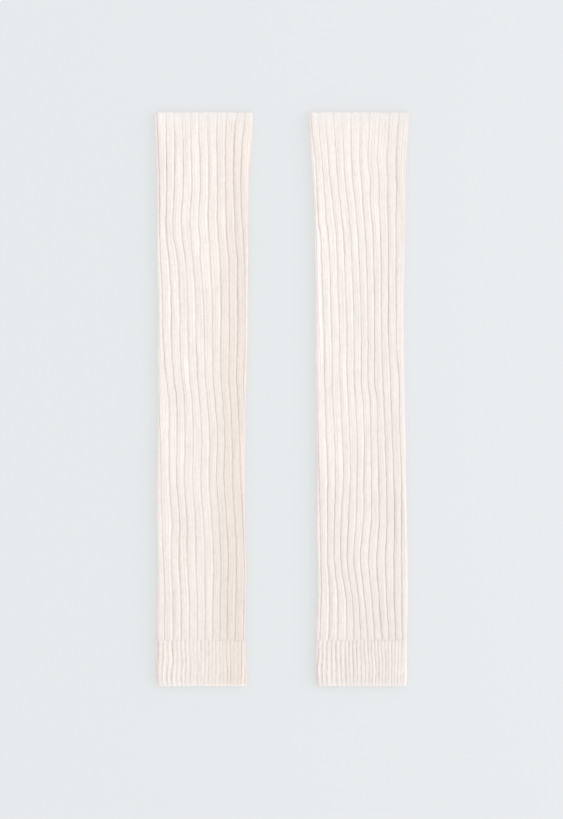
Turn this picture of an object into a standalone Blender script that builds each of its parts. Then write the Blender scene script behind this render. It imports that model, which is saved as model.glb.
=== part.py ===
# Pair of long rib-knit leg warmers, laid flat side by side.
#
# Each leg warmer is a flattened tube: a leg in wide rib, and an ankle cuff in fine rib below it.
# +Z is up and the knit lies on z = 0, +Y runs from the cuffs to the top edges, +X to the right.
# The origin is the middle of the pair on the surface that it lies on.

import math

import bmesh
import bpy

MM = 0.001

# Sizes of both leg warmers, in millimetres
TOTAL_LENGTH = 602.7
LEG_LENGTH = 554.0
SEAM_GAP = 0.3
MIDDLE_LINE = 82.7

# The knit: a wall with ribs on its outer side, and the narrow slit between the two layers
LAID_HEIGHT = 7.0
UNDER_WALL = 3.0
SLIT_HEIGHT = 0.6
SIDE_WALL = 3.2
LEG_GROOVE_DEPTH = 1.4
CUFF_GROOVE_DEPTH = 0.9

# The grooves are shallower at the cast-off top edge, and reach their depth this far down
TOP_EDGE_DEPTH = 0.45
TOP_EDGE_FADE = 14.0

# The ribs fade out round the side folds, between these upward parts of the way out of the wall
RELIEF_FULL = -0.2
RELIEF_GONE = -0.9

# Wide ribs all round one tube; the cuff's fine rib has two for each of them
LEG_RIBS = 23

# Ribs numbered from the guide grooves below: these show on top or round the side folds
FIRST_RAISED = -2
LAST_RAISED = 12

# Places of the points across one rib, from groove to groove, and how high each stands
WIDE_RIB = ((0.0, 0.0), (0.2, 0.78), (0.5, 1.0), (0.8, 0.78))
FINE_RIB = ((0.0, 0.0), (0.5, 1.0))
FLAT_RIB = ((0.0, 0.0),)

LEG_SECTION_STEP = 24.0
CUFF_SECTIONS = (0.0, 0.4, 0.8, 0.93, 1.0)

# One row for each section, in millimetres: its distance down from the top edge, the left and
# right edges of the flat tube from its middle line, and where the guide grooves cross it
GUIDE_GROOVES = (0, 2, 5, 7, 9)
LEFT_ROWS = (
    # down, left, right, groove 0, groove 2, groove 5, groove 7, groove 9
    (0.0, -49.6, 51.2, -48.3, -30.2, -4.4, 15.0, 36.0),
    (18.0, -49.4, 51.0, -47.3, -30.0, -4.6, 13.9, 33.2),
    (50.0, -47.5, 48.4, -46.2, -29.6, -3.2, 14.7, 32.3),
    (82.0, -47.6, 47.2, -45.8, -30.2, -2.9, 15.1, 32.3),
    (113.0, -47.8, 47.0, -46.0, -31.9, -5.0, 15.1, 33.2),
    (134.0, -47.8, 47.0, -45.4, -30.5, -3.4, 16.0, 34.0),
    (155.0, -47.3, 46.6, -44.5, -26.7, -2.9, 17.9, 36.1),
    (197.0, -45.9, 46.2, -42.6, -24.4, 0.2, 18.9, 36.3),
    (239.0, -45.7, 46.1, -42.0, -24.4, 1.3, 18.5, 36.1),
    (281.0, -45.9, 45.0, -38.4, -22.1, 2.5, 18.9, 35.1),
    (302.0, -46.8, 44.2, -36.1, -19.7, 4.6, 20.6, 36.5),
    (344.0, -47.3, 43.6, -35.7, -18.9, 7.1, 22.7, 38.2),
    (386.0, -48.1, 43.4, -35.3, -19.1, 6.3, 21.8, 39.5),
    (428.0, -48.3, 43.6, -32.8, -16.4, 9.2, 24.6, 41.6),
    (470.0, -47.8, 44.8, -33.4, -15.8, 11.0, 26.3, 43.6),
    (512.0, -47.8, 44.2, -31.7, -13.4, 10.5, 25.4, 42.9),
    (554.0, -49.3, 44.4, -31.4, -13.5, 10.0, 25.0, 42.3),
    (578.0, -49.5, 45.2, -31.2, -13.2, 10.0, 25.2, 41.4),
    (594.0, -48.6, 46.0, -31.0, -13.0, 10.2, 25.6, 41.8),
    (600.0, -47.6, 45.8, -30.6, -12.9, 10.2, 25.5, 41.5),
    (602.7, -46.7, 45.2, -30.3, -12.8, 10.1, 25.3, 41.2),
)
RIGHT_ROWS = (
    # down, left, right, groove 0, groove 2, groove 5, groove 7, groove 9
    (0.0, -53.3, 49.9, -52.0, -36.6, -9.8, 9.8, 31.3),
    (18.0, -53.0, 49.3, -50.7, -35.8, -9.8, 9.1, 29.9),
    (50.0, -50.4, 46.8, -47.1, -33.3, -9.3, 7.7, 27.6),
    (71.0, -49.2, 46.5, -45.9, -31.6, -8.1, 10.4, 28.7),
    (92.0, -48.3, 46.5, -44.8, -29.3, -5.6, 10.4, 28.5),
    (113.0, -47.8, 46.4, -44.2, -27.2, -3.9, 12.1, 28.9),
    (134.0, -47.3, 46.0, -41.5, -24.9, -2.2, 13.3, 29.5),
    (197.0, -46.8, 44.8, -39.4, -23.0, 0.3, 14.8, 29.5),
    (239.0, -46.7, 44.8, -37.9, -21.7, 1.2, 15.0, 29.7),
    (281.0, -46.7, 45.2, -37.3, -21.5, 0.9, 15.0, 31.4),
    (302.0, -46.5, 45.7, -37.2, -20.5, 2.8, 17.3, 32.2),
    (344.0, -45.8, 46.4, -35.4, -18.6, 4.1, 18.2, 33.7),
    (386.0, -45.7, 46.8, -34.1, -17.7, 3.7, 19.2, 35.4),
    (428.0, -45.6, 47.8, -34.5, -20.1, 3.3, 19.8, 36.0),
    (470.0, -45.2, 48.7, -34.1, -20.5, 0.0, 17.3, 35.4),
    (512.0, -45.3, 48.8, -32.0, -14.7, 4.7, 19.7, 35.5),
    (554.0, -47.2, 48.4, -33.4, -14.4, 7.9, 22.8, 37.3),
    (578.0, -47.8, 48.4, -34.9, -15.6, 9.2, 23.3, 36.3),
    (594.0, -46.8, 48.8, -34.5, -15.3, 9.2, 23.5, 36.8),
    (600.0, -45.6, 48.0, -34.1, -15.1, 9.1, 23.3, 36.5),
    (602.7, -44.6, 47.3, -33.8, -15.0, 9.0, 23.1, 36.2),
)

# name, side of the origin, rows, and the knit's colour
LEG_WARMERS = (
    ("left", -1, LEFT_ROWS, (0.88, 0.81, 0.76, 1.0)),
    ("right", 1, RIGHT_ROWS, (0.90, 0.84, 0.79, 1.0)),
)


def clear_scene():
    for item in list(bpy.data.objects):
        bpy.data.objects.remove(item, do_unlink=True)


def knit_material(name, colour):
    material = bpy.data.materials.new(name)
    material.use_nodes = True
    shader = material.node_tree.nodes["Principled BSDF"]
    shader.inputs["Base Color"].default_value = colour
    shader.inputs["Roughness"].default_value = 0.9
    shader.inputs["Metallic"].default_value = 0.0
    return material


def smooth_row(rows, down):
    """The table's row at any distance down, on smooth curves through the rows that it has."""
    last = len(rows) - 2
    i = next((n for n in range(last) if down <= rows[n + 1][0]), last)
    low, high = rows[i], rows[i + 1]
    before, after = rows[max(i - 1, 0)], rows[min(i + 2, last + 1)]
    span = high[0] - low[0]
    t = (down - low[0]) / span
    result = []
    for column in range(1, len(low)):
        slope_low = (high[column] - before[column]) / (high[0] - before[0]) * span
        slope_high = (after[column] - low[column]) / (after[0] - low[0]) * span
        result.append(
            (2 * t**3 - 3 * t**2 + 1) * low[column]
            + (t**3 - 2 * t**2 + t) * slope_low
            + (3 * t**2 - 2 * t**3) * high[column]
            + (t**3 - t**2) * slope_high
        )
    return result


class Form:
    """The outline of a flattened tube, walked from the middle line round to the right."""

    def __init__(self, left, right, low, high):
        self.left, self.right = left, right
        self.low, self.high = low, high
        self.radius = (high - low) / 2
        self.flat = right - left - 2 * self.radius
        self.arc = math.pi * self.radius
        self.round = 2 * (self.flat + self.arc)

    def along(self, x):
        """How far round the outline a point at x lies when seen from above."""
        right_bend = self.right - self.radius
        left_bend = self.left + self.radius
        if x > right_bend:
            return right_bend + self.radius * math.asin(min(1.0, (x - right_bend) / self.radius))
        if x < left_bend:
            return left_bend - self.radius * math.asin(min(1.0, (left_bend - x) / self.radius))
        return x

    def zone(self, along):
        """Which stretch of the outline holds a point, and how far along the stretch it is."""
        rest = (along - self.left - self.radius) % self.round
        for number, length in enumerate((self.flat, self.arc, self.flat, self.arc)):
            if rest <= length:
                return number, rest / length
            rest -= length
        return 0, 0.0

    def point(self, number, share):
        """A point of the outline and the way out of it, as x, z, outward x and outward z."""
        left_bend = self.left + self.radius
        right_bend = self.right - self.radius
        turn = math.pi * share
        if number == 0:
            return left_bend + self.flat * share, self.high, 0.0, 1.0
        if number == 2:
            return right_bend - self.flat * share, self.low, 0.0, -1.0
        middle = (self.low + self.high) / 2
        out_x, out_z = math.sin(turn), math.cos(turn)
        if number == 1:
            return right_bend + self.radius * out_x, middle + self.radius * out_z, out_x, out_z
        return left_bend - self.radius * out_x, middle - self.radius * out_z, -out_x, -out_z


def wide_grooves(form, guides):
    """Where the grooves of the wide rib lie along the outline, once round the tube."""
    places = [form.along(x) for x in guides]
    grooves = []
    for number in range(GUIDE_GROOVES[-1]):
        i = max(n for n, guide in enumerate(GUIDE_GROOVES) if guide <= number)
        share = (number - GUIDE_GROOVES[i]) / (GUIDE_GROOVES[i + 1] - GUIDE_GROOVES[i])
        grooves.append(places[i] + share * (places[i + 1] - places[i]))
    rest = LEG_RIBS - GUIDE_GROOVES[-1]
    step = (places[0] + form.round - places[-1]) / rest
    grooves += [places[-1] + n * step for n in range(rest)]
    return grooves


def groove_ring(form, guides, fine):
    """The grooves round one section, with the way back to the first one at the end."""
    grooves = wide_grooves(form, guides)
    grooves.append(grooves[0] + form.round)
    if fine:
        halves = []
        for low, high in zip(grooves, grooves[1:]):
            halves += [low, (low + high) / 2]
        grooves = halves + [grooves[-1]]
    return grooves


def rib_points(number, fine):
    """The points of one rib: all of them where it can show, and one where it lies underneath."""
    if fine:
        number = number // 2
    if number > LAST_RAISED:
        number -= LEG_RIBS
    if number < FIRST_RAISED:
        return FLAT_RIB
    return FINE_RIB if fine else WIDE_RIB


def tube_rings(rows, down, fine):
    """The outer points of one section, and its inner points, one for each groove."""
    left, right, *guides = smooth_row(rows, down)
    form = Form(left, right, 0.0, LAID_HEIGHT)
    inner_high = UNDER_WALL + SLIT_HEIGHT
    hollow = Form(left + SIDE_WALL, right - SIDE_WALL, UNDER_WALL, inner_high)
    grooves = groove_ring(form, guides, fine)
    depth = CUFF_GROOVE_DEPTH if fine else LEG_GROOVE_DEPTH
    if not fine:
        depth *= TOP_EDGE_DEPTH + (1.0 - TOP_EDGE_DEPTH) * min(1.0, down / TOP_EDGE_FADE)
    outer, inner = [], []
    for number, (low, high) in enumerate(zip(grooves, grooves[1:])):
        rib = []
        for share, height in rib_points(number, fine):
            x, z, out_x, out_z = form.point(*form.zone(low + share * (high - low)))
            shown = min(1.0, max(0.0, (out_z - RELIEF_GONE) / (RELIEF_FULL - RELIEF_GONE)))
            sunk = depth * (1.0 - height) * shown
            rib.append((x - sunk * out_x, z - sunk * out_z))
        outer.append(rib)
        inner.append(hollow.point(*form.zone(low))[:2])
    return outer, inner


def knit_tube(name, rows, downs, fine, middle, material, collection):
    """A closed solid: ribbed outer wall, plain inner wall, and a flat rim at each end."""
    mesh_data = bmesh.new()
    sections = []
    for down in downs:
        outer, inner = tube_rings(rows, down, fine)
        y = (TOTAL_LENGTH / 2 - down) * MM
        outer_ribs = [[mesh_data.verts.new((middle + x * MM, y, z * MM)) for x, z in rib]
                      for rib in outer]
        inner_ring = [mesh_data.verts.new((middle + x * MM, y, z * MM)) for x, z in inner]
        sections.append((outer_ribs, inner_ring))
    for above, below in zip(sections, sections[1:]):
        bridge(mesh_data, sum(above[0], []), sum(below[0], []))
        bridge(mesh_data, below[1], above[1])
    rim(mesh_data, *sections[0], facing_up=True)
    rim(mesh_data, *sections[-1], facing_up=False)
    bmesh.ops.recalc_face_normals(mesh_data, faces=mesh_data.faces)
    mesh = bpy.data.meshes.new(name)
    mesh_data.to_mesh(mesh)
    mesh_data.free()
    mesh.materials.append(material)
    tube = bpy.data.objects.new(name, mesh)
    collection.objects.link(tube)
    return tube


def bridge(mesh_data, first, second):
    """Faces between two rings that have the same number of points."""
    for i in range(len(first)):
        j = (i + 1) % len(first)
        mesh_data.faces.new((first[i], first[j], second[j], second[i]))


def rim(mesh_data, outer_ribs, inner_ring, facing_up):
    """The cut end of the wall: one face for each rib, from its outer points to the slit."""
    for i, rib in enumerate(outer_ribs):
        j = (i + 1) % len(outer_ribs)
        loop = [*rib, outer_ribs[j][0], inner_ring[j], inner_ring[i]]
        mesh_data.faces.new(loop if facing_up else loop[::-1])


def leg_downs():
    count = round(LEG_LENGTH / LEG_SECTION_STEP)
    step = LEG_LENGTH / count
    return [0.0, TOP_EDGE_FADE] + [n * step for n in range(1, count + 1)]


def cuff_downs():
    start = LEG_LENGTH + SEAM_GAP
    return [start + share * (TOTAL_LENGTH - start) for share in CUFF_SECTIONS]


def main():
    clear_scene()
    collection = bpy.data.collections.new("leg_warmers")
    bpy.context.scene.collection.children.link(collection)
    for side_name, side, rows, colour in LEG_WARMERS:
        middle = side * MIDDLE_LINE * MM
        leg_knit = knit_material("leg_knit_" + side_name, colour)
        cuff_knit = knit_material("cuff_knit_" + side_name, colour)
        knit_tube("leg_" + side_name, rows, leg_downs(), False, middle, leg_knit, collection)
        knit_tube("cuff_" + side_name, rows, cuff_downs(), True, middle, cuff_knit, collection)


main()
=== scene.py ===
import math
import bpy
import numpy as np
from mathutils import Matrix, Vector


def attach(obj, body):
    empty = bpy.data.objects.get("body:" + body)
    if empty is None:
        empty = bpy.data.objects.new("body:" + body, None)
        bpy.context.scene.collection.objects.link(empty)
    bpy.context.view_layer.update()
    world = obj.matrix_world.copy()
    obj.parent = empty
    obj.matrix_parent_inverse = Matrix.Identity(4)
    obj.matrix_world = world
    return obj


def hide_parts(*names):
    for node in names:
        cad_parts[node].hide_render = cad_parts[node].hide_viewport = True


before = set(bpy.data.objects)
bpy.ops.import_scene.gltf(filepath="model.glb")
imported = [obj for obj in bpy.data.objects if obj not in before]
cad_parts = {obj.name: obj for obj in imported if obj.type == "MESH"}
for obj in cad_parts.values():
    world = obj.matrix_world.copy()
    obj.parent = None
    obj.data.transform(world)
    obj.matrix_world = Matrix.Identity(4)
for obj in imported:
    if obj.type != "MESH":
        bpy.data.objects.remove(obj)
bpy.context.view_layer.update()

mm = 0.001

# sizes that both leg warmers share, in millimetres, stitches and rows
knit = {
    "totalLength": 602.7,
    "legLength": 554.0,
    "laidHeight": 7.0,
    "cutWidth": 191.0,     # once round, cut open and laid flat
    "roundStitches": 92,   # four to each wide rib, two to each cuff rib
    "rowHeight": 2.4,      # one row of stitches
    "crestPower": 0.7,     # how full a rib's crest is, fuller when smaller
    "seamDepth": 0.6,      # both ribs where they meet
    "underDepth": 1.0,     # the deepest grooves on the underside
    "underFacing": -0.6,   # knit that faces further down than this is the underside
    "foldOut": 1.0,        # how far the folds stand out past the tables' edges
    "cuffFoldOut": 0.35,
    "foldOutFade": 40.0,   # length over which one passes into the other
    "sideWall": 3.0,
    "underWall": 3.0,
    "slit": 0.5,
    "seamGap": 0.04,       # between leg and cuff
    "seamEdge": 0.06,      # from the seam to the row of points next to it
    "sag": 1.6,            # how far the top layer sinks at the open ends
    "sagLength": 16.0,
    "notchLength": 5.0,    # how far from an open edge its notches reach
    "topFade": 140.0,      # how far down the open edge's own groove depths last
    "foldGroove": 10,      # the groove on the right fold, which can get shallower further down
    "foldFadeStart": 125.0,
    "foldFadeLength": 60.0,
    "legStart": 0.7,       # the leg's first row, so that its lip ends near the open edge
    "openLip": 1.2,        # how far the rounded lip of an open edge stands out
    "lipSteps": 4,
    "legRows": 300,        # rows of points
    "cuffRows": 58,
    "insideStep": 12,      # the inside takes every twelfth row
}

legGuides = (-1, 0, 2, 5, 7, 9, 10)   # the wide grooves that the tables follow

# down, left, right, then where grooves 0, 2, 5, 7 and 9 cross, from the middle line
leftRows = (
    (0.0, -50.0, 51.4, -48.9, -30.2, -4.4, 15.0, 36.0),
    (18.0, -49.7, 51.4, -47.9, -30.0, -4.6, 13.9, 33.2),
    (50.0, -48.2, 48.6, -46.7, -29.6, -3.2, 14.7, 32.3),
    (82.0, -48.0, 47.2, -45.8, -30.2, -2.9, 15.1, 32.3),
    (113.0, -47.9, 47.2, -46.0, -31.9, -5.0, 15.1, 33.2),
    (134.0, -48.2, 47.2, -45.4, -30.5, -3.4, 16.0, 34.0),
    (155.0, -48.0, 46.8, -44.5, -26.7, -2.9, 17.9, 36.1),
    (197.0, -46.7, 46.2, -42.6, -24.4, 0.2, 18.9, 36.3),
    (239.0, -47.0, 46.0, -42.0, -24.4, 1.3, 18.5, 36.1),
    (281.0, -47.0, 44.7, -38.4, -22.1, 2.5, 18.9, 35.1),
    (302.0, -46.8, 44.2, -36.1, -19.7, 4.6, 20.6, 36.5),
    (344.0, -47.6, 43.6, -35.7, -18.9, 7.1, 22.7, 38.2),
    (386.0, -48.6, 43.4, -35.3, -19.6, 6.3, 21.8, 39.5),
    (428.0, -48.3, 43.6, -32.8, -17.1, 9.2, 24.6, 41.6),
    (470.0, -48.0, 44.5, -33.4, -16.6, 11.0, 26.3, 43.6),
    (512.0, -48.2, 44.1, -31.7, -14.2, 10.5, 25.4, 42.9),
    (554.0, -49.3, 44.4, -31.4, -14.3, 10.0, 25.0, 42.3),
    (578.0, -49.5, 45.2, -31.2, -13.2, 10.0, 25.2, 41.4),
    (594.0, -48.6, 46.0, -31.0, -13.0, 10.2, 25.6, 41.8),
    (600.0, -47.6, 45.8, -30.6, -12.9, 10.2, 25.5, 41.5),
    (602.7, -46.7, 45.2, -30.3, -12.8, 10.1, 25.3, 41.2),
)
rightRows = (
    (0.0, -53.3, 49.9, -52.0, -36.6, -9.8, 9.8, 31.3),
    (18.0, -53.0, 49.3, -50.7, -35.8, -9.8, 9.1, 29.9),
    (50.0, -50.8, 46.8, -47.1, -33.3, -9.3, 7.7, 27.6),
    (71.0, -49.6, 46.5, -45.9, -31.6, -8.1, 10.4, 28.7),
    (92.0, -48.3, 46.5, -44.8, -29.3, -5.6, 10.4, 28.5),
    (113.0, -47.8, 46.4, -44.2, -27.2, -3.9, 12.1, 28.9),
    (134.0, -47.3, 46.0, -41.5, -24.9, -2.2, 13.3, 29.5),
    (197.0, -46.8, 44.8, -39.4, -23.0, 0.3, 14.8, 29.5),
    (239.0, -46.7, 44.8, -37.9, -21.7, 1.2, 15.0, 29.7),
    (281.0, -46.7, 45.2, -37.3, -21.5, 0.9, 15.0, 31.4),
    (302.0, -46.5, 45.7, -37.2, -20.5, 2.8, 17.3, 32.2),
    (344.0, -45.8, 46.4, -35.4, -18.6, 4.1, 18.2, 33.7),
    (386.0, -45.7, 46.8, -34.1, -17.7, 3.7, 19.2, 35.4),
    (428.0, -45.9, 47.8, -34.5, -20.1, 3.3, 19.8, 36.0),
    (470.0, -45.2, 48.7, -34.1, -20.5, 0.0, 17.3, 35.4),
    (512.0, -45.3, 48.8, -32.0, -14.7, 4.7, 19.7, 35.5),
    (554.0, -47.2, 48.4, -33.4, -14.4, 7.9, 22.8, 37.3),
    (578.0, -47.8, 48.4, -34.9, -15.6, 9.2, 23.3, 36.3),
    (594.0, -46.8, 48.8, -34.5, -15.3, 9.2, 23.5, 36.8),
    (600.0, -45.6, 48.0, -34.1, -15.1, 9.1, 23.3, 36.5),
    (602.7, -44.6, 47.3, -33.8, -15.0, 9.0, 23.1, 36.2),
)

# down, then where the grooves at the folds cross, -1 at the left and 10 at the right
leftFoldRows = (
    (0.0, -57.0, 45.0),
    (18.0, -56.5, 42.4),
    (50.0, -55.5, 40.0),
    (82.0, -54.5, 39.6),
    (113.0, -54.0, 40.8),
    (146.0, -53.0, 43.1),
    (190.0, -51.8, 43.8),
    (247.0, -49.3, 43.9),
    (281.0, -47.4, 42.2),
    (314.0, -46.0, 43.9),
    (342.0, -45.0, 45.1),
    (392.0, -44.0, 47.8),
    (443.0, -42.9, 49.7),
    (493.0, -40.4, 50.6),
    (535.0, -40.4, 50.0),
    (554.0, -40.5, 50.0),
)
rightFoldRows = (
    (0.0, -61.0, 40.8),
    (18.0, -60.0, 39.4),
    (50.0, -57.5, 37.3),
    (79.0, -56.0, 38.1),
    (113.0, -54.0, 37.4),
    (146.0, -52.5, 37.6),
    (190.0, -50.8, 37.4),
    (247.0, -48.4, 37.9),
    (281.0, -47.0, 40.4),
    (314.0, -45.6, 41.0),
    (348.0, -44.4, 41.6),
    (382.0, -43.3, 43.3),
    (415.0, -42.6, 43.3),
    (449.0, -41.9, 43.0),
    (493.0, -41.0, 43.4),
    (535.0, -42.0, 43.7),
    (554.0, -42.6, 44.5),
)

# down, then where the cuffs' guide grooves cross
leftCuffRows = (
    (554.0, -47.4, -32.2, -14.3, 9.5, 24.2, 40.6, 43.9),
    (562.3, -47.5, -32.3, -14.3, 9.5, 24.2, 40.3, 44.0),
    (570.7, -47.4, -31.5, -13.8, 9.6, 24.4, 40.1, 44.0),
    (579.1, -48.5, -31.6, -13.6, 9.6, 24.9, 40.0, 44.1),
    (587.5, -48.4, -32.9, -13.8, 9.5, 25.1, 40.0, 44.1),
    (595.4, -48.2, -33.0, -14.1, 8.8, 25.1, 39.9, 43.8),
    (602.7, -46.7, -32.6, -14.1, 8.7, 24.9, 39.6, 43.4),
)
rightCuffRows = (
    (554.0, -44.4, -35.6, -16.5, 7.3, 21.2, 35.9, 46.6),
    (562.3, -44.6, -35.8, -16.6, 7.5, 21.3, 35.8, 46.3),
    (570.7, -44.7, -35.8, -16.5, 7.9, 22.1, 35.7, 45.8),
    (579.1, -45.8, -35.7, -16.3, 8.7, 22.5, 35.5, 45.4),
    (587.5, -46.0, -35.9, -16.0, 8.8, 22.6, 35.3, 45.2),
    (595.4, -45.3, -35.9, -15.5, 8.5, 22.4, 35.3, 44.3),
    (602.7, -44.4, -35.3, -15.3, 8.2, 22.1, 35.0, 43.8),
)

leftWarmer = {
    "name": "left",
    "middle": -82.7,
    "rows": leftRows,
    "foldRows": leftFoldRows,
    "cuffRows": leftCuffRows,
    "cuffGuides": (-3, 0, 4, 10, 14, 18, 19),
    # how deep the cuff's grooves are, from its first guide on
    "cuffDepths": (3.2, 1.0, 0.85, 2.3, 0.8, 1.2, 1.3, 0.8, 0.75, 0.65, 1.1, 0.65, 1.0, 0.55,
                   0.65, 0.5, 0.35, 1.3, 1.3, 0.1, 0.2, 1.5, 0.8),
    "seed": 3,
    "colour": (0.945, 0.868, 0.827),
    # colour of the painted shade in the knit's gaps and grooves
    "paintedShade": (0.70, 0.61, 0.555),
    "beige": (0.850, 0.763, 0.690),
    "beigeShare": 0.95,
    "cuffBeige": 0.95,
    "squareness": 5.4,
    # down, then how deep the wide grooves are there
    "depthRows": ((0, 0.9), (25, 0.9), (55, 1.2), (120, 1.04), (165, 0.78), (260, 0.98),
                  (365, 0.72), (430, 0.88), (554, 0.9)),
    # down, then how light the wool is there at the left and at the right fold
    "toneRows": ((0, 1.005, 0.95), (14, 1.012, 1.01), (46, 0.983, 1.033), (85, 0.995, 1.01),
                 (125, 1.005, 0.988), (228, 0.995, 1.005), (333, 0.992, 1.01), (438, 0.997, 0.994),
                 (520, 0.99, 0.985), (554, 0.987, 0.98), (555, 0.968, 1.02), (603, 0.975, 1.028)),
    # how deep the wide grooves are, from the tables' first one on, and which differ near the top
    "legDepths": (0.9, 0.87, 1.28, 0.97, 0.83, 0.87, 0.79, 0.88, 0.98, 0.95, 1.02, 0.94, 0.3),
    "topGrooves": {0: 2.4, 6: 0.85, 10: 0.9},
    "foldFade": 0.45,      # share of the fold groove's depth that is lost further down
    "grooveShift": 0.0,
}
rightWarmer = {
    "name": "right",
    "middle": 82.7,
    "rows": rightRows,
    "foldRows": rightFoldRows,
    "cuffRows": rightCuffRows,
    "cuffGuides": (-2, 0, 4, 10, 14, 18, 21),
    "cuffDepths": (1.6, 1.1, 1.3, 1.5, 1.7, 1.4, 1.4, 1.9, 1.75, 1.6, 1.0, 1.4, 1.5, 1.0,
                   1.2, 1.25, 0.95, 0.9, 0.55, 0.9, 0.7, 0.35, 0.9, 0.6),
    "seed": 8,
    "colour": (0.944, 0.867, 0.826),
    # colour of the painted shade in the knit's gaps and grooves
    "paintedShade": (0.70, 0.61, 0.555),
    "beige": (0.862, 0.790, 0.752),
    "beigeShare": 0.55,
    "cuffBeige": 0.35,
    "squareness": 4.7,
    "depthRows": ((0, 0.5), (30, 0.55), (65, 0.9), (100, 0.95), (190, 0.76), (280, 0.84),
                  (330, 0.65), (400, 1.08), (520, 1.06), (554, 0.85)),
    "toneRows": ((0, 1.0, 0.905), (14, 1.005, 0.945), (46, 1.03, 0.952), (123, 1.02, 0.97),
                 (228, 1.005, 0.99), (333, 0.983, 0.985), (438, 0.973, 0.982), (520, 0.962, 0.973),
                 (554, 0.955, 0.965), (555, 0.935, 0.99), (603, 0.92, 1.012)),
    "legDepths": (1.1, 1.06, 0.93, 0.87, 0.99, 0.96, 1.03, 1.05, 1.28, 1.09, 1.33, 0.97, 0.5),
    "topGrooves": {0: 1.6, 6: 0.8, 7: 0.45, 8: 0.35, 9: 0.3, 10: 1.5},
    "foldFade": 0.0,
    "grooveShift": -0.5,
}


def rowAt(rows, down):
    # smooth curve through the table's rows
    table = np.array(rows)
    last = len(table) - 2
    i = min(max(int(np.searchsorted(table[:, 0], down, side="right")) - 1, 0), last)
    low, high = table[i], table[i + 1]
    before, after = table[max(i - 1, 0)], table[min(i + 2, last + 1)]
    span = high[0] - low[0]
    t = (down - low[0]) / span
    slopeLow = (high - before) / (high[0] - before[0]) * span
    slopeHigh = (after - low) / (after[0] - low[0]) * span
    value = (2 * t**3 - 3 * t**2 + 1) * low + (t**3 - 2 * t**2 + t) * slopeLow
    value = value + (3 * t**2 - 2 * t**3) * high + (t**3 - t**2) * slopeHigh
    return value[1:]


def outline(left, right, low, high):
    # a flat tube's outline as four stretches: top, right fold, underside, left fold
    radius = (high - low) / 2
    flat = right - left - 2 * radius
    arc = math.pi * radius
    return {"left": left, "right": right, "low": low, "high": high, "radius": radius,
            "flat": flat, "arc": arc, "round": 2 * (flat + arc)}


def alongOf(form, x):
    # how far round the outline a point lies that is at x seen from above
    radius = form["radius"]
    rightBend, leftBend = form["right"] - radius, form["left"] + radius
    if x > rightBend:
        beyond = max(0.0, x - form["right"])
        return rightBend + radius * math.asin(min(1.0, (x - rightBend) / radius)) + beyond
    if x < leftBend:
        beyond = max(0.0, form["left"] - x)
        return leftBend - radius * math.asin(min(1.0, (leftBend - x) / radius)) - beyond
    return x


def pointsOf(form, share):
    # points of the outline at shares 0 to 4, one for each stretch, and the way out of it there
    radius, flat = form["radius"], form["flat"]
    leftBend, rightBend = form["left"] + radius, form["right"] - radius
    middle = (form["low"] + form["high"]) / 2
    stretch = np.clip(np.floor(share), 0, 3)
    part = share - stretch
    turn = math.pi * part
    top, rightFold, under = stretch == 0, stretch == 1, stretch == 2
    x = np.select([top, rightFold, under],
                  [leftBend + flat * part, rightBend + radius * np.sin(turn), rightBend - flat * part],
                  leftBend - radius * np.sin(turn))
    z = np.select([top, rightFold, under], [form["high"], middle + radius * np.cos(turn), form["low"]],
                  middle - radius * np.cos(turn))
    outX = np.select([top, rightFold, under], [0.0, np.sin(turn), 0.0], -np.sin(turn))
    outZ = np.select([top, rightFold, under], [1.0, np.cos(turn), -1.0], -np.cos(turn))
    return x, z, outX, outZ


def shareOf(form, along):
    # the share (0 to 4) of points that lie this far round the outline
    rest = np.mod(along - form["left"] - form["radius"], form["round"])
    ends = np.cumsum([0, form["flat"], form["arc"], form["flat"], form["arc"]])
    return np.interp(rest, ends, np.arange(5.0))


def allGrooves(form, numbers, guides, count):
    # where every groove lies round the outline, from groove 0 on and back to it
    places = [alongOf(form, x) for x in guides]
    knots = [*numbers, numbers[0] + count]
    groove = np.arange(count + 1)
    lapped = groove > knots[-1]
    place = np.interp(groove - count * lapped, knots, [*places, places[0] + form["round"]])
    return place + form["round"] * lapped


def ribProfile(phase, squareness):
    # height across a rib: 0 in the grooves at both sides, 1 on the crest
    return (1 - np.abs(2 * phase - 1) ** squareness) ** knit["crestPower"]


# points across one rib, and how the stitches and the wool lie over it
wideRib = {
    "places": (0.0, 0.03, 0.07, 0.13, 0.22, 0.36, 0.5, 0.64, 0.78, 0.87, 0.93, 0.97),
    "stitchPlaces": (0.0, 0.08, 0.36, 0.64, 0.92, 1.0),
    "stitches": (0.0, 0.5, 1.5, 2.5, 3.5, 4.0),
    "ribs": 23,
    "depth": 1.15,
    "uneven": 0.4,         # how much a groove's depth varies along it
    "spread": 0.3,         # and from one groove to the next
    "drift": 0.3,          # how far grooves wander besides the table's curves
    "swell": 0.12,
    "tilt": 0.1,
    "blend": 2.5,          # length over which the rib meets the other one
    "notch": 0.5,          # how far down the grooves start at an open edge, up where negative
    "edgeDepth": 0.15,     # share of the depth that is left at the open edge
    "edgeFade": 25.0,
    "pale": 0.75,
    "paleFade": 17.0,
}
fineRib = {
    "places": (0.0, 0.08, 0.18, 0.32, 0.5, 0.68, 0.82, 0.92),
    "stitchPlaces": (0.0, 0.2, 0.8, 1.0),
    "stitches": (0.0, 0.5, 1.5, 2.0),
    "ribs": 46,
    "squareness": 3.1,
    "depth": 0.61,
    "uneven": 0.5,
    "spread": 0.4,
    "drift": 0.2,
    "swell": 0.1,
    "tilt": 0.08,
    "blend": 2.0,
    "notch": -1.3,
    "edgeDepth": 0.15,
    "edgeFade": 9.0,
    "pale": 0.8,
    "paleFade": 4.5,
}

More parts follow.
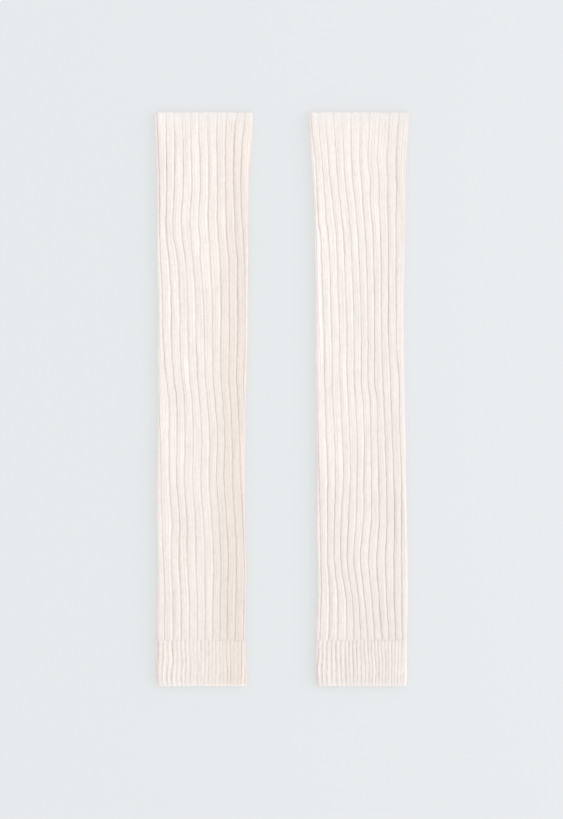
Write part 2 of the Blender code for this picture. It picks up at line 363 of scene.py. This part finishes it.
# the waves that make ribs uneven: their lengths, how much these vary, and their size
handLaid = {
    "swell": (190, 60, 24),
    "tilt": (120, 50),
    "depth": (110, 38, 14, 8),
    "drift": (75, 30, 15),
    "pace": (0.7, 1.4),
    "size": 1.3,
}


def makeWaves(seed, count, lengths):
    # slow uneven waves along the tube, about -1 to 1, separate ones for each rib or groove
    rng = np.random.default_rng(seed)
    starts = rng.uniform(0, 2 * math.pi, (count, len(lengths)))
    rates = 2 * math.pi * rng.uniform(*handLaid["pace"], (count, len(lengths))) / np.array(lengths)

    def waves(down):
        return np.sin(starts + down * rates).sum(1) / len(lengths) * handLaid["size"]
    return waves


def grooveStrengths(warmer, rib, fine):
    # how deep each groove is beside the others
    rng = np.random.default_rng(warmer["seed"] + 40)
    count = rib["ribs"]
    strengths = 1 + rib["spread"] * rng.uniform(-1, 1, count)
    atTop = np.ones(count)
    if fine:
        for groove, strength in enumerate(warmer["cuffDepths"], warmer["cuffGuides"][0]):
            strengths[groove] = strength
    else:
        for groove, strength in enumerate(warmer["legDepths"], legGuides[0]):
            strengths[groove] = strength
        # some are deeper or flatter near the leg's open edge
        for groove, share in warmer["topGrooves"].items():
            atTop[groove] = share
    return strengths, atTop


def smoothStep(value):
    value = min(1.0, max(0.0, value))
    return value * value * (3 - 2 * value)


def planRibs(warmer, fine):
    # what is the same in every row of a tube
    rib = fineRib if fine else wideRib
    count = rib["ribs"]
    seed = warmer["seed"] * 10 + (5 if fine else 0)
    places = np.array(rib["places"])
    phases = np.tile(places, count)
    numbers = np.repeat(np.arange(count), len(places))
    stitch = np.interp(places, rib["stitchPlaces"], rib["stitches"])
    profile = ribProfile(phases, rib["squareness"] if fine else warmer["squareness"])
    seamProfile = profile if fine else ribProfile(np.mod(2 * phases, 1), fineRib["squareness"])
    strengths, atTop = grooveStrengths(warmer, rib, fine)
    plan = {"fine": fine, "rib": rib, "phases": phases, "numbers": numbers, "profile": profile,
            "seamProfile": seamProfile, "strengths": strengths, "atTop": atTop,
            "nearest": np.where(phases < 0.5, numbers, (numbers + 1) % count),
            "wales": np.tile(stitch, count) + numbers * rib["stitches"][-1]}
    for step, kind in enumerate(("swell", "tilt", "depth", "drift")):
        plan[kind + "Wave"] = makeWaves(seed + step, count, handLaid[kind])
    return plan


def groovePlaces(warmer, plan, form, guides, down, seam):
    # where the grooves of one row lie round its outline
    count = plan["rib"]["ribs"]
    if plan["fine"]:
        grooves = allGrooves(form, warmer["cuffGuides"], rowAt(warmer["cuffRows"], down), count)
    else:
        atLeft, atRight = rowAt(warmer["foldRows"], down)
        grooves = allGrooves(form, legGuides, [atLeft, *guides, atRight], count) + warmer["grooveShift"]
    shift = plan["driftWave"](down) * plan["rib"]["drift"] * (1 - seam)
    return grooves + np.append(shift, shift[0])


def grooveShares(warmer, plan, down, edge):
    # how deep the grooves of one row are beside a usual one
    rib, atTop = plan["rib"], plan["atTop"]
    nearTop = 1 - smoothStep(down / knit["topFade"])
    strength = plan["strengths"] * (1 + rib["uneven"] * plan["depthWave"](down))
    strength = strength * (1 + (atTop - 1) * nearTop)
    if not plan["fine"]:
        depthDowns, depthShares = np.array(warmer["depthRows"]).T
        strength = strength * np.interp(down, depthDowns, depthShares)
        lowered = smoothStep((down - knit["foldFadeStart"]) / knit["foldFadeLength"])
        strength[knit["foldGroove"]] *= 1 - warmer["foldFade"] * lowered
    return strength * (1 - edge * (1 - rib["edgeDepth"]) / np.maximum(atTop, 1))


def knitRow(warmer, plan, down):
    # one row of points outside, the plain one inside, and how the wool looks along it
    rib, phases, numbers = plan["rib"], plan["phases"], plan["numbers"]
    left, right, *guides = rowAt(warmer["rows"], down)
    fromEdge = knit["totalLength"] - down if plan["fine"] else down
    sag = knit["sag"] * (1 - smoothStep(fromEdge / knit["sagLength"]))
    toSeam = smoothStep((down - knit["legLength"] + knit["foldOutFade"]) / knit["foldOutFade"])
    out = knit["foldOut"] + (knit["cuffFoldOut"] - knit["foldOut"]) * toSeam
    form = outline(left - out, right + out, 0.0, knit["laidHeight"] - sag)
    seam = (1 - min(1.0, abs(down - knit["legLength"]) / rib["blend"])) ** 2
    edge = 1 - smoothStep(fromEdge / rib["edgeFade"])
    grooves = groovePlaces(warmer, plan, form, guides, down, seam)
    share = shareOf(form, np.interp(numbers + phases, np.arange(len(grooves)), grooves))
    x, z, outX, outZ = pointsOf(form, share)
    above = outZ > knit["underFacing"]

    strength = grooveShares(warmer, plan, down, edge)[plan["nearest"]]
    depth = rib["depth"] * strength * (1 - seam) + knit["seamDepth"] * seam
    depth = np.where(above, depth, np.minimum(depth, knit["underDepth"]))
    height = plan["profile"] * (1 - seam) + plan["seamProfile"] * seam
    sunk = depth * (1 - height)
    lean = rib["tilt"] * plan["tiltWave"](down)[numbers] * (phases - 0.5) * 2
    low = rib["swell"] * (1 - plan["swellWave"](down)[numbers])
    sunk = np.maximum(sunk + (low + lean) * (1 - seam) * above, 0)
    notch = rib["notch"] * (1 - height) * (1 - smoothStep(fromEdge / knit["notchLength"]))
    outer = np.stack([x - sunk * outX, down + notch, z - sunk * outZ], 1)

    hollow = outline(left + knit["sideWall"], right - knit["sideWall"],
                     knit["underWall"], knit["underWall"] + knit["slit"])
    hollowX, hollowZ = pointsOf(hollow, share)[:2]
    inner = np.stack([hollowX, np.full_like(hollowX, down), hollowZ], 1)

    toneDowns, leftTones, rightTones = np.array(warmer["toneRows"]).T
    sideTones = np.interp(down, toneDowns, leftTones), np.interp(down, toneDowns, rightTones)
    full = wool["fullGroove"]
    marks = {
        # groove: how deep the groove is here, which places the purl bars and their painted shade
        "groove": (1 - height) * np.minimum(strength, full) / full,
        "pale": np.full(len(x), rib["pale"] * (1 - smoothStep(fromEdge / rib["paleFade"]))),
        # fold: how far the knit faces sideways, which sets the painted light on the left fold and the
        # painted shade on the right fold
        "fold": outX,
        "tone": np.interp(x, (left, right), sideTones),
    }
    return outer, inner, marks


def lipRings(first, second, reach):
    # a rounded edge from one ring to another, standing out along the tube
    middle, half = (first + second) / 2, (first - second) / 2
    rings = []
    for n in range(1, knit["lipSteps"]):
        turn = math.pi * n / knit["lipSteps"]
        ring = middle + half * math.cos(turn)
        ring[:, 1] += reach * math.sin(turn)
        rings.append(ring)
    return rings


def tubeRings(warmer, plan, downs):
    # a ribbed shell: outer rows, a rounded lip at the open end, and a plain inside
    outer, inner, marks = zip(*[knitRow(warmer, plan, down) for down in downs])
    picked = sorted(set(range(0, len(downs), knit["insideStep"])) | {len(downs) - 1}, reverse=True)
    openEnd, reach = (-1, knit["openLip"]) if plan["fine"] else (0, -knit["openLip"])
    plain = np.zeros(len(plan["phases"]))
    insideMarks = {"groove": plain, "pale": plain, "fold": plain, "tone": marks[openEnd]["tone"]}
    lipMarks = {**marks[openEnd], "groove": marks[openEnd]["groove"] * wool["lipGroove"]}
    insideRings = [(inner[i], downs[i], insideMarks) for i in picked]
    lip = lipRings(outer[-1], inner[-1], reach) if plan["fine"] else lipRings(inner[0], outer[0], reach)
    rounded = [(ring, downs[openEnd] + reach * n / knit["lipSteps"], lipMarks)
               for n, ring in enumerate(lip, 1)]
    rest = rounded + insideRings if plan["fine"] else insideRings + rounded
    rings, ringDowns, ringMarks = zip(*zip(outer, downs, marks), *rest)
    looks = {label: np.array([mark[label] for mark in ringMarks]) for label in insideMarks}
    return np.array(rings), np.array(ringDowns), looks


def knitPiece(name, warmer, fine, downs, material):
    plan = planRibs(warmer, fine)
    rings, ringDowns, marks = tubeRings(warmer, plan, downs)
    count, around = rings.shape[:2]
    points = rings.reshape(-1, 3).copy()
    points[:, 0] = (points[:, 0] + warmer["middle"]) * mm
    points[:, 1] = (knit["totalLength"] / 2 - points[:, 1]) * mm
    points[:, 2] *= mm
    row, column = np.meshgrid(np.arange(count), np.arange(around), indexing="ij")
    nextRow, nextColumn = (row + 1) % count, (column + 1) % around
    corners = np.stack([row * around + column, nextRow * around + column,
                        nextRow * around + nextColumn, row * around + nextColumn], -1)
    mesh = bpy.data.meshes.new(name)
    mesh.from_pydata(points.tolist(), [], corners.reshape(-1, 4).tolist())

    # across: stitches, down: rows of stitches
    u = np.append(plan["wales"], knit["roundStitches"])
    v = np.append(ringDowns, ringDowns[0]) / knit["rowHeight"]
    uLow, uHigh = u[column], u[column + 1]
    vLow, vHigh = v[row], v[row + 1]
    loops = np.stack([np.stack([uLow, vLow], -1), np.stack([uLow, vHigh], -1),
                      np.stack([uHigh, vHigh], -1), np.stack([uHigh, vLow], -1)], 2)
    layer = mesh.uv_layers.new(name="knitUV")
    layer.data.foreach_set("uv", loops.reshape(-1).astype(np.float32))
    for label, values in marks.items():
        attribute = mesh.attributes.new(label, "FLOAT", "POINT")
        attribute.data.foreach_set("value", values.reshape(-1).astype(np.float32))
    mesh.polygons.foreach_set("use_smooth", np.ones(count * around, bool))
    mesh.materials.append(material)
    mesh.update()
    piece = bpy.data.objects.new(name, mesh)
    bpy.context.scene.collection.objects.link(piece)
    return piece


def addNode(tree, kind, **settings):
    node = tree.nodes.new(kind)
    for key, value in settings.items():
        setattr(node, key, value)
    return node


def calc(tree, operation, first, second=None, third=None):
    # a Math node on links or plain numbers
    node = addNode(tree, "ShaderNodeMath", operation=operation)
    for socket, value in zip(node.inputs, (first, second, third)):
        if value is None:
            continue
        if isinstance(value, (int, float)):
            socket.default_value = value
        else:
            tree.links.new(value, socket)
    return node.outputs[0]


def ramp(tree, value, start, end):
    # 0 at start, 1 at end, smooth between
    node = addNode(tree, "ShaderNodeMapRange", interpolation_type="SMOOTHSTEP")
    node.inputs["From Min"].default_value = start
    node.inputs["From Max"].default_value = end
    tree.links.new(value, node.inputs["Value"])
    return node.outputs[0]


def blend(tree, share, first, second):
    node = addNode(tree, "ShaderNodeMix", data_type="FLOAT")
    for socket, value in (("Factor", share), ("A", first), ("B", second)):
        tree.links.new(value, node.inputs[socket])
    return node.outputs["Result"]


def blendColour(tree, share, first, second, kind="MIX"):
    node = addNode(tree, "ShaderNodeMix", data_type="RGBA", blend_type=kind)
    for socket, value in (("Factor", share), ("A", first), ("B", second)):
        if isinstance(value, float):
            node.inputs[socket].default_value = value
        elif isinstance(value, tuple):
            node.inputs[socket].default_value = (*value, 1)
        else:
            tree.links.new(value, node.inputs[socket])
    return node.outputs["Result"]


def knitNoise(tree, u, v, scales, detail):
    # noise over the knit's own coordinates, stretched along its columns
    spread = addNode(tree, "ShaderNodeCombineXYZ")
    for socket, value, scale in zip(spread.inputs, (u, v), scales):
        tree.links.new(calc(tree, "MULTIPLY", value, scale), socket)
    noise = addNode(tree, "ShaderNodeTexNoise", noise_dimensions="2D")
    noise.inputs["Scale"].default_value = 1.0
    noise.inputs["Detail"].default_value = detail
    tree.links.new(spread.outputs[0], noise.inputs["Vector"])
    return noise.outputs["Fac"]


def varied(tree, value, reach):
    # a noise from 0 to 1 turned into a factor that varies this much about 1
    return calc(tree, "MULTIPLY_ADD", value, reach, 1 - reach / 2)


# a ramp gives the value at which an effect begins and the one at which it is full, measured from
# a stitch's middle (0) to its side (0.5), by the lift of its strands, or by the groove's mark
stitchLook = {
    "strandPlace": 0.25,         # the middle of a strand, and half its width
    "strandWidth": 0.27,
    "slant": 1.2,                # how steeply the V's strands rise
    "purlRamp": (0.3, 0.55),
    "purlHeight": 0.7,
    "patchScales": (0.3, 0.12),
    "looseRamp": (0.57, 0.68),
    "columnRamp": (0.28, 0.5),
    "columnGap": 0.72,
    "strandRamp": (0.14, 0.0),
    "strandGap": 0.15,
    "rowRamp": (0.6, 0.0),
    "rowGap": 0.06,
    "looseRowGap": 0.9,
    "barGap": 1.25,
    "barRamp": (0.15, 0.6),
    "streakScales": (1.5, 0.03),
}


def makeStitchGroup():
    # knit stitches from the knit's own coordinates: one unit a stitch across, one a row down
    look = stitchLook
    group = bpy.data.node_groups.new("knitStitch", "ShaderNodeTree")
    face = group.interface
    for name, kind in (("Knit UV", "NodeSocketVector"), ("Groove", "NodeSocketFloat")):
        face.new_socket(name=name, in_out="INPUT", socket_type=kind)
    for name in ("Height", "Gap Shade", "Tone", "Streaks"):
        face.new_socket(name=name, in_out="OUTPUT", socket_type="NodeSocketFloat")
    start = addNode(group, "NodeGroupInput")
    end = addNode(group, "NodeGroupOutput")
    split = addNode(group, "ShaderNodeSeparateXYZ")
    group.links.new(start.outputs["Knit UV"], split.inputs[0])
    u, v = split.outputs[0], split.outputs[1]
    grooved = start.outputs["Groove"]

    # each knit stitch is a V of two strands
    side = calc(group, "ABSOLUTE", calc(group, "SUBTRACT", u, calc(group, "ROUND", u)))
    strand = calc(group, "SUBTRACT", side, look["strandPlace"])
    strand = calc(group, "DIVIDE", strand, look["strandWidth"])
    strand = calc(group, "SUBTRACT", 1.0, calc(group, "MULTIPLY", strand, strand))
    strand = calc(group, "MAXIMUM", strand, 0.0)
    slanted = calc(group, "MULTIPLY_ADD", side, look["slant"], v)
    lift = calc(group, "ABSOLUTE", calc(group, "SINE", calc(group, "MULTIPLY", slanted, math.pi)))
    stitch = calc(group, "MULTIPLY", strand, calc(group, "MULTIPLY_ADD", lift, 0.5, 0.5))

    # in the grooves lie the bars of purl stitches
    purl = ramp(group, grooved, *look["purlRamp"])
    shifted = calc(group, "MULTIPLY", calc(group, "ADD", v, 0.5), math.pi)
    bar = calc(group, "ABSOLUTE", calc(group, "SINE", shifted))
    height = blend(group, purl, stitch, calc(group, "MULTIPLY", bar, look["purlHeight"]))

    # in some places the rows lie more open
    loose = ramp(group, knitNoise(group, u, v, look["patchScales"], 2.0), *look["looseRamp"])

    # painted shade: dark places between the columns of stitches, between their strands, between the rows,
    # and beside the bars
    columnGap = calc(group, "MULTIPLY", ramp(group, side, *look["columnRamp"]), look["columnGap"])
    strandGap = calc(group, "MULTIPLY", ramp(group, side, *look["strandRamp"]), look["strandGap"])
    openRows = calc(group, "MULTIPLY_ADD", loose, look["looseRowGap"], look["rowGap"])
    rowGap = calc(group, "MULTIPLY", ramp(group, lift, *look["rowRamp"]), openRows)
    knitGaps = calc(group, "ADD", calc(group, "ADD", columnGap, strandGap), rowGap)
    barGaps = calc(group, "MULTIPLY_ADD", bar, -1.0, look["barGap"])
    gapShade = blend(group, ramp(group, grooved, *look["barRamp"]), knitGaps, barGaps)

    # streaks of thicker and thinner yarn run down the columns
    streaks = knitNoise(group, u, v, look["streakScales"], 1.0)

    # no two stitches are quite alike
    cell = addNode(group, "ShaderNodeCombineXYZ")
    group.links.new(calc(group, "ROUND", u), cell.inputs[0])
    group.links.new(calc(group, "FLOOR", slanted), cell.inputs[1])
    noise = addNode(group, "ShaderNodeTexWhiteNoise", noise_dimensions="3D")
    group.links.new(cell.outputs[0], noise.inputs["Vector"])
    group.links.new(height, end.inputs["Height"])
    group.links.new(gapShade, end.inputs["Gap Shade"])
    group.links.new(noise.outputs["Value"], end.inputs["Tone"])
    group.links.new(streaks, end.inputs["Streaks"])
    return group


# the wool: its shine, how much its tone and relief vary, and its colours, with the painted shade of its
# gaps and grooves and the painted light and shade of its folds
wool = {
    "sheen": 0.12,
    "sheenRoughness": 0.6,
    "specular": 0.12,
    "roughness": 0.8,
    "paintedGapShade": 0.42,        # how far gaps take the painted shade
    "fullGroove": 1.6,       # grooves this strong, or stronger, are marked in full, for their purl bars and painted shade
    "lipGroove": 0.5,        # share of the groove mark, and so of its painted shade, that is left on a lip
    "stitchTone": 0.04,      # how much the tone varies, from stitch to stitch and so on
    "patchTone": 0.06,
    "lumpTone": 0.04,
    "streakTone": 0.23,
    "paleCalm": 0.6,         # share of the streaks that pale wool loses
    "patchScale": 16.0,
    "lumpScale": 210.0,
    "fibreScale": 1800.0,
    "fibreRoughness": 0.15,
    "fibreRelief": 0.15,
    "lumpRelief": 0.5,
    "bump": 0.7,
    "bumpDepth": 0.0006,
    "pale": (0.912, 0.880, 0.857),
    # painted light that makes the left fold lighter and warmer
    "leftFoldPaintedLight": (1.05, 1.045, 1.02),
    # painted shade that darkens the right fold
    "rightFold": (0.93, 0.93, 0.93),
    # where the wool turns beige, in metres: twice along the knit, and across it
    "footRamp": (0.30, -0.22),
    "nearFootRamp": (-0.04, -0.15),
    "sideRamp": (-0.001, 0.044),
    "footShift": 0.007,      # how much further left the beige reaches at the foot
    "footGain": 0.4,         # share of the beige that comes with nearness to the foot
    "nearFootBeige": 0.2,    # the least beige near the foot
    "beigePatches": (0.8, 0.6),   # how much its patches vary, and its least share
}


def beigeShare(tree, warmer, fine, place, patches):
    # the wool turns beige towards the right fold and the foot
    where = addNode(tree, "ShaderNodeSeparateXYZ")
    tree.links.new(place, where.inputs[0])
    middle = warmer["middle"] * mm
    start, end = wool["sideRamp"]
    footward = ramp(tree, where.outputs[1], *wool["footRamp"])
    towards = calc(tree, "MULTIPLY_ADD", footward, wool["footShift"], where.outputs[0])
    rightward = ramp(tree, towards, middle + start, middle + end)
    gain = calc(tree, "MULTIPLY_ADD", footward, wool["footGain"], 1 - wool["footGain"])
    beige = calc(tree, "MULTIPLY", rightward, gain)
    nearFoot = ramp(tree, where.outputs[1], *wool["nearFootRamp"])
    beige = calc(tree, "MAXIMUM", beige, calc(tree, "MULTIPLY", nearFoot, wool["nearFootBeige"]))
    beige = calc(tree, "MULTIPLY", beige, calc(tree, "MULTIPLY_ADD", patches, *wool["beigePatches"]))
    return calc(tree, "MULTIPLY", beige, warmer["cuffBeige"] if fine else warmer["beigeShare"])


def knitMaterial(warmer, fine, stitchGroup):
    name = ("cuff" if fine else "leg") + "Knit_" + warmer["name"]
    material = bpy.data.materials.new(name)
    material.use_nodes = True
    tree = material.node_tree
    shader = tree.nodes["Principled BSDF"]
    shader.inputs["Sheen Weight"].default_value = wool["sheen"]
    shader.inputs["Sheen Roughness"].default_value = wool["sheenRoughness"]
    shader.inputs["Specular IOR Level"].default_value = wool["specular"]
    uv = addNode(tree, "ShaderNodeUVMap", uv_map="knitUV")
    groove, pale, fold, lightness = (
        addNode(tree, "ShaderNodeAttribute", attribute_name=label).outputs["Fac"]
        for label in ("groove", "pale", "fold", "tone"))
    knitted = addNode(tree, "ShaderNodeGroup", node_tree=stitchGroup)
    tree.links.new(uv.outputs[0], knitted.inputs["Knit UV"])
    tree.links.new(groove, knitted.inputs["Groove"])

    place = addNode(tree, "ShaderNodeTexCoord").outputs["Object"]
    noises = {}
    for label, scale in (("patches", wool["patchScale"]), ("lumps", wool["lumpScale"]),
                         ("fibres", wool["fibreScale"])):
        node = addNode(tree, "ShaderNodeTexNoise", noise_dimensions="3D")
        node.inputs["Scale"].default_value = scale
        node.inputs["Detail"].default_value = 2.0
        tree.links.new(place, node.inputs["Vector"])
        noises[label] = node.outputs["Fac"]

    beige = beigeShare(tree, warmer, fine, place, noises["patches"])
    colour = blendColour(tree, beige, warmer["colour"], warmer["beige"])
    # painted shade in the gaps between stitches and rows, and beside the purl bars in the grooves
    paintedGapShade = calc(tree, "MULTIPLY", knitted.outputs["Gap Shade"], wool["paintedGapShade"])
    colour = blendColour(tree, paintedGapShade, colour, warmer["paintedShade"])
    colour = blendColour(tree, pale, colour, wool["pale"])
    # painted light on the left fold
    leftFoldPaintedLight = calc(tree, "MAXIMUM", calc(tree, "MULTIPLY", fold, -1.0), 0.0)
    colour = blendColour(tree, leftFoldPaintedLight, colour, wool["leftFoldPaintedLight"], "MULTIPLY")
    # painted shade on the right fold
    rightFold = calc(tree, "MAXIMUM", fold, 0.0)
    colour = blendColour(tree, rightFold, colour, wool["rightFold"], "MULTIPLY")

    # lighter and darker stitches, patches, lumps and streaks of yarn
    stitchTone = varied(tree, knitted.outputs["Tone"], wool["stitchTone"])
    patchTone = varied(tree, noises["patches"], wool["patchTone"])
    lumpTone = varied(tree, noises["lumps"], wool["lumpTone"])
    calm = -wool["paleCalm"] * wool["streakTone"]
    streakReach = calc(tree, "MULTIPLY_ADD", pale, calm, wool["streakTone"])
    streak = calc(tree, "SUBTRACT", knitted.outputs["Streaks"], 0.5)
    streakTone = calc(tree, "MULTIPLY_ADD", streak, streakReach, 1.0)
    tone = calc(tree, "MULTIPLY", calc(tree, "MULTIPLY", stitchTone, patchTone), lumpTone)
    tone = calc(tree, "MULTIPLY", tone, streakTone)
    tone = calc(tree, "MULTIPLY", tone, lightness)
    colour = blendColour(tree, 1.0, colour, tone, "MULTIPLY")
    tree.links.new(colour, shader.inputs["Base Color"])
    rough = calc(tree, "MULTIPLY_ADD", noises["fibres"], wool["fibreRoughness"], wool["roughness"])
    tree.links.new(rough, shader.inputs["Roughness"])

    relief = calc(tree, "MULTIPLY_ADD", noises["fibres"], wool["fibreRelief"], knitted.outputs["Height"])
    relief = calc(tree, "MULTIPLY_ADD", noises["lumps"], wool["lumpRelief"], relief)
    bump = addNode(tree, "ShaderNodeBump")
    bump.inputs["Strength"].default_value = wool["bump"]
    bump.inputs["Distance"].default_value = wool["bumpDepth"]
    tree.links.new(relief, bump.inputs["Height"])
    tree.links.new(bump.outputs[0], shader.inputs["Normal"])
    return material


print("knitting the legs and cuffs")
stitchGroup = makeStitchGroup()
half = knit["seamGap"] / 2
seamUp, seamDown = knit["legLength"] - half, knit["legLength"] + half
legDowns = np.linspace(knit["legStart"], seamUp, knit["legRows"])
cuffDowns = np.linspace(seamDown, knit["totalLength"] - knit["openLip"], knit["cuffRows"])
# a second row close to the seam keeps its edges crisp
legDowns = np.append(legDowns[:-1], [seamUp - knit["seamEdge"], seamUp])
cuffDowns = np.append([seamDown, seamDown + knit["seamEdge"]], cuffDowns[1:])
cuffLength = knit["totalLength"] - knit["legLength"]
for warmer in (leftWarmer, rightWarmer):
    side = warmer["name"]
    leg = knitPiece("legKnit_" + side, warmer, False, legDowns, knitMaterial(warmer, False, stitchGroup))
    cuff = knitPiece("cuffKnit_" + side, warmer, True, cuffDowns, knitMaterial(warmer, True, stitchGroup))
    for piece, node, length in ((leg, "leg_" + side, knit["legLength"]),
                                (cuff, "cuff_" + side, cuffLength)):
        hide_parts(node)
        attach(piece, "root")
        print(piece.name, len(piece.data.polygons) * 2, "triangles")

print("floor, light and camera")
floorLook = {
    "size": 12,
    "height": -0.0004,               # a hair below the cloth
    "colour": (0.306, 0.315, 0.319),
    "glow": (0.462, 0.473, 0.479),   # the veil of a bright studio, which lifts the shadows
    "roughness": 0.9,
    "specular": 0.05,
}
bpy.ops.mesh.primitive_plane_add(size=floorLook["size"], location=(0, 0, floorLook["height"]))
floor = bpy.context.object
floor.name = "floor"
floorMaterial = bpy.data.materials.new("paleFloor")
floorMaterial.use_nodes = True
floorShader = floorMaterial.node_tree.nodes["Principled BSDF"]
floorShader.inputs["Base Color"].default_value = (*floorLook["colour"], 1)
floorShader.inputs["Emission Color"].default_value = (*floorLook["glow"], 1)
floorShader.inputs["Emission Strength"].default_value = 1.0
floorShader.inputs["Roughness"].default_value = floorLook["roughness"]
floorShader.inputs["Specular IOR Level"].default_value = floorLook["specular"]
floor.data.materials.append(floorMaterial)

room = {"colour": (0.985, 0.992, 1.0), "strength": 1.01}
world = bpy.data.worlds.new("softRoom")
bpy.context.scene.world = world
world.use_nodes = True
background = world.node_tree.nodes["Background"]
background.inputs["Color"].default_value = (*room["colour"], 1)
background.inputs["Strength"].default_value = room["strength"]

window = {
    "size": (1.2, 2.1),
    "power": 33.5,
    "place": (2.6, 0.15, 1.0),
}
lampData = bpy.data.lights.new("window", "AREA")
lampData.shape = "RECTANGLE"
lampData.size, lampData.size_y = window["size"]
lampData.energy = window["power"]
lamp = bpy.data.objects.new("window", lampData)
bpy.context.scene.collection.objects.link(lamp)
lamp.location = window["place"]
lamp.rotation_euler = (-Vector(window["place"])).to_track_quat("-Z", "Y").to_euler()

# straight down from above the middle, at the photograph's scale
view = {
    "pixel": 1.05,       # millimetres
    "width": 563,
    "height": 819,
    "middleX": 281.75,   # where the part's middle lies in the photograph, in pixels
    "middleY": 399.5,
    "lens": 100,
    "sensor": 36,
    "farthest": 100,
}
camera = bpy.data.cameras.new("camera")
camera.lens = view["lens"]
camera.sensor_width = view["sensor"]
camera.clip_end = view["farthest"]
eye = bpy.data.objects.new("camera", camera)
bpy.context.scene.collection.objects.link(eye)
seenHeight = view["height"] * view["pixel"] * mm
eye.location = ((view["width"] / 2 - view["middleX"]) * view["pixel"] * mm,
                (view["middleY"] - view["height"] / 2) * view["pixel"] * mm,
                seenHeight * camera.lens / camera.sensor_width + knit["laidHeight"] / 2 * mm)
bpy.context.scene.camera = eye
bpy.context.scene.view_settings.view_transform = "Standard"
